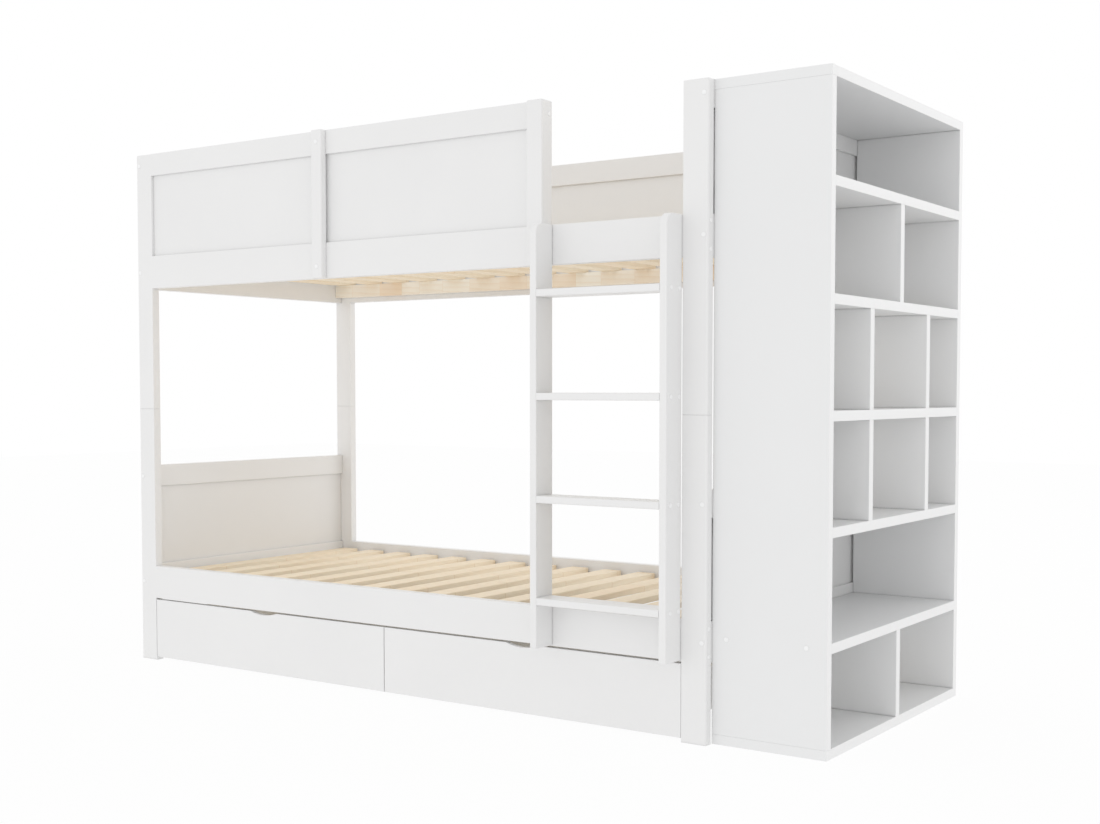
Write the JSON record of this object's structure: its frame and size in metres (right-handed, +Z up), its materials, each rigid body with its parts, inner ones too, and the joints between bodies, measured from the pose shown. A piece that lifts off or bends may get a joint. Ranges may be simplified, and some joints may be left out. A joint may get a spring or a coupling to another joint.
{
  "type": "bunk bed with storage",
  "caption": "White bunk bed with slatted bases, framed guards, a fixed ladder, roll-out under-bed drawers and an open bookcase across one end.",
  "frame": {"origin": "on the floor, under the middle of the whole, cover caps included", "axes": "+X along the bed towards the bookcase, +Y away from the ladder side, +Z up"},
  "size_m": [2.3952, 1.0342, 1.63],
  "materials": {
    "painted_board": "satin white paint on solid board",
    "thin_panel": "satin white paint on thin panel",
    "case_board": "satin white foil on board",
    "drawer_board": "plain white foil on board",
    "pine_slat": "bare planed pine",
    "pine_ledger": "bare finger-jointed pine",
    "beech": "bare fluted beech",
    "zinc_steel": "bright zinc",
    "cap_plastic": "moulded white",
    "castor_plastic": "moulded dark grey",
    "wheel_plastic": "moulded grey"
  },
  "bodies": {
    "bed": {"back_guard_panel": "thin_panel", "back_guard_top_rail": "painted_board", "back_left_lower_post": "painted_board", "back_left_upper_post": "painted_board", "back_right_lower_post": "painted_board", "back_right_upper_post": "painted_board", "bolt_caps": "cap_plastic", "bookcase_back_side": "case_board", "bookcase_bottom": "case_board", "bookcase_dividers": "case_board", "bookcase_front_side": "case_board", "bookcase_shelves": "case_board", "bookcase_top": "case_board", "frame_bolts": "zinc_steel", "front_guard_end_post": "painted_board", "front_guard_panel": "thin_panel", "front_guard_stile": "painted_board", "front_guard_top_rail": "painted_board", "front_left_lower_post": "painted_board", "front_left_upper_post": "painted_board", "front_right_lower_post": "painted_board", "front_right_upper_post": "painted_board", "ladder_left_upright": "painted_board", "ladder_right_upright": "painted_board", "ladder_rungs": "painted_board", "lower_back_rail": "painted_board", "lower_front_rail": "painted_board", "lower_left_end_panel": "thin_panel", "lower_left_end_rails": "painted_board", "lower_right_end_panel": "thin_panel", "lower_right_end_rails": "painted_board", "lower_slat_ledgers": "pine_ledger", "lower_slats": "pine_slat", "threaded_inserts": "zinc_steel", "upper_back_rail": "painted_board", "upper_front_rail": "painted_board", "upper_left_end_panel": "thin_panel", "upper_left_end_rails": "painted_board", "upper_right_end_panel": "thin_panel", "upper_right_end_rails": "painted_board", "upper_slat_ledgers": "pine_ledger", "upper_slats": "pine_slat", "wood_dowels": "beech", "wood_screws": "zinc_steel"},
    "left_drawer": {"left_drawer_bottom": "drawer_board", "left_drawer_castors": "castor_plastic", "left_drawer_front": "painted_board", "left_drawer_walls": "drawer_board"},
    "left_drawer_back_left_wheel_body": {"left_drawer_back_left_wheel": "wheel_plastic"},
    "left_drawer_back_right_wheel_body": {"left_drawer_back_right_wheel": "wheel_plastic"},
    "left_drawer_front_left_wheel_body": {"left_drawer_front_left_wheel": "wheel_plastic"},
    "left_drawer_front_right_wheel_body": {"left_drawer_front_right_wheel": "wheel_plastic"},
    "right_drawer": {"right_drawer_bottom": "drawer_board", "right_drawer_castors": "castor_plastic", "right_drawer_front": "painted_board", "right_drawer_walls": "drawer_board"},
    "right_drawer_back_left_wheel_body": {"right_drawer_back_left_wheel": "wheel_plastic"},
    "right_drawer_back_right_wheel_body": {"right_drawer_back_right_wheel": "wheel_plastic"},
    "right_drawer_front_left_wheel_body": {"right_drawer_front_left_wheel": "wheel_plastic"},
    "right_drawer_front_right_wheel_body": {"right_drawer_front_right_wheel": "wheel_plastic"}
  },
  "joints": [
    {"name": "left_drawer_slide", "type": "slide", "parent": "bed", "child": "left_drawer", "axis": [0, -1, 0], "range_m": [0, 0.5]},
    {"name": "left_drawer_back_left_wheel_turn", "type": "hinge", "parent": "left_drawer", "child": "left_drawer_back_left_wheel_body", "pos_m": [-1.0354, 0.0659, 0.02], "axis": [1, 0, 0], "range_deg": [0, 1440]},
    {"name": "left_drawer_back_right_wheel_turn", "type": "hinge", "parent": "left_drawer", "child": "left_drawer_back_right_wheel_body", "pos_m": [-0.2434, 0.0659, 0.02], "axis": [1, 0, 0], "range_deg": [0, 1440]},
    {"name": "left_drawer_front_left_wheel_turn", "type": "hinge", "parent": "left_drawer", "child": "left_drawer_front_left_wheel_body", "pos_m": [-1.0354, -0.3541, 0.02], "axis": [1, 0, 0], "range_deg": [0, 1440]},
    {"name": "left_drawer_front_right_wheel_turn", "type": "hinge", "parent": "left_drawer", "child": "left_drawer_front_right_wheel_body", "pos_m": [-0.2434, -0.3541, 0.02], "axis": [1, 0, 0], "range_deg": [0, 1440]},
    {"name": "right_drawer_slide", "type": "slide", "parent": "bed", "child": "right_drawer", "axis": [0, -1, 0], "range_m": [0, 0.5]},
    {"name": "right_drawer_back_left_wheel_turn", "type": "hinge", "parent": "right_drawer", "child": "right_drawer_back_left_wheel_body", "pos_m": [-0.0614, 0.0659, 0.02], "axis": [1, 0, 0], "range_deg": [0, 1440]},
    {"name": "right_drawer_back_right_wheel_turn", "type": "hinge", "parent": "right_drawer", "child": "right_drawer_back_right_wheel_body", "pos_m": [0.7306, 0.0659, 0.02], "axis": [1, 0, 0], "range_deg": [0, 1440]},
    {"name": "right_drawer_front_left_wheel_turn", "type": "hinge", "parent": "right_drawer", "child": "right_drawer_front_left_wheel_body", "pos_m": [-0.0614, -0.3541, 0.02], "axis": [1, 0, 0], "range_deg": [0, 1440]},
    {"name": "right_drawer_front_right_wheel_turn", "type": "hinge", "parent": "right_drawer", "child": "right_drawer_front_right_wheel_body", "pos_m": [0.7306, -0.3541, 0.02], "axis": [1, 0, 0], "range_deg": [0, 1440]}
  ],
  "couplings": [
    {"joint": "left_drawer_back_left_wheel_turn", "follows": "left_drawer_slide", "rad_per_m": 50},
    {"joint": "left_drawer_back_right_wheel_turn", "follows": "left_drawer_slide", "rad_per_m": 50},
    {"joint": "left_drawer_front_left_wheel_turn", "follows": "left_drawer_slide", "rad_per_m": 50},
    {"joint": "left_drawer_front_right_wheel_turn", "follows": "left_drawer_slide", "rad_per_m": 50},
    {"joint": "right_drawer_back_left_wheel_turn", "follows": "right_drawer_slide", "rad_per_m": 50},
    {"joint": "right_drawer_back_right_wheel_turn", "follows": "right_drawer_slide", "rad_per_m": 50},
    {"joint": "right_drawer_front_left_wheel_turn", "follows": "right_drawer_slide", "rad_per_m": 50},
    {"joint": "right_drawer_front_right_wheel_turn", "follows": "right_drawer_slide", "rad_per_m": 50}
  ]
}
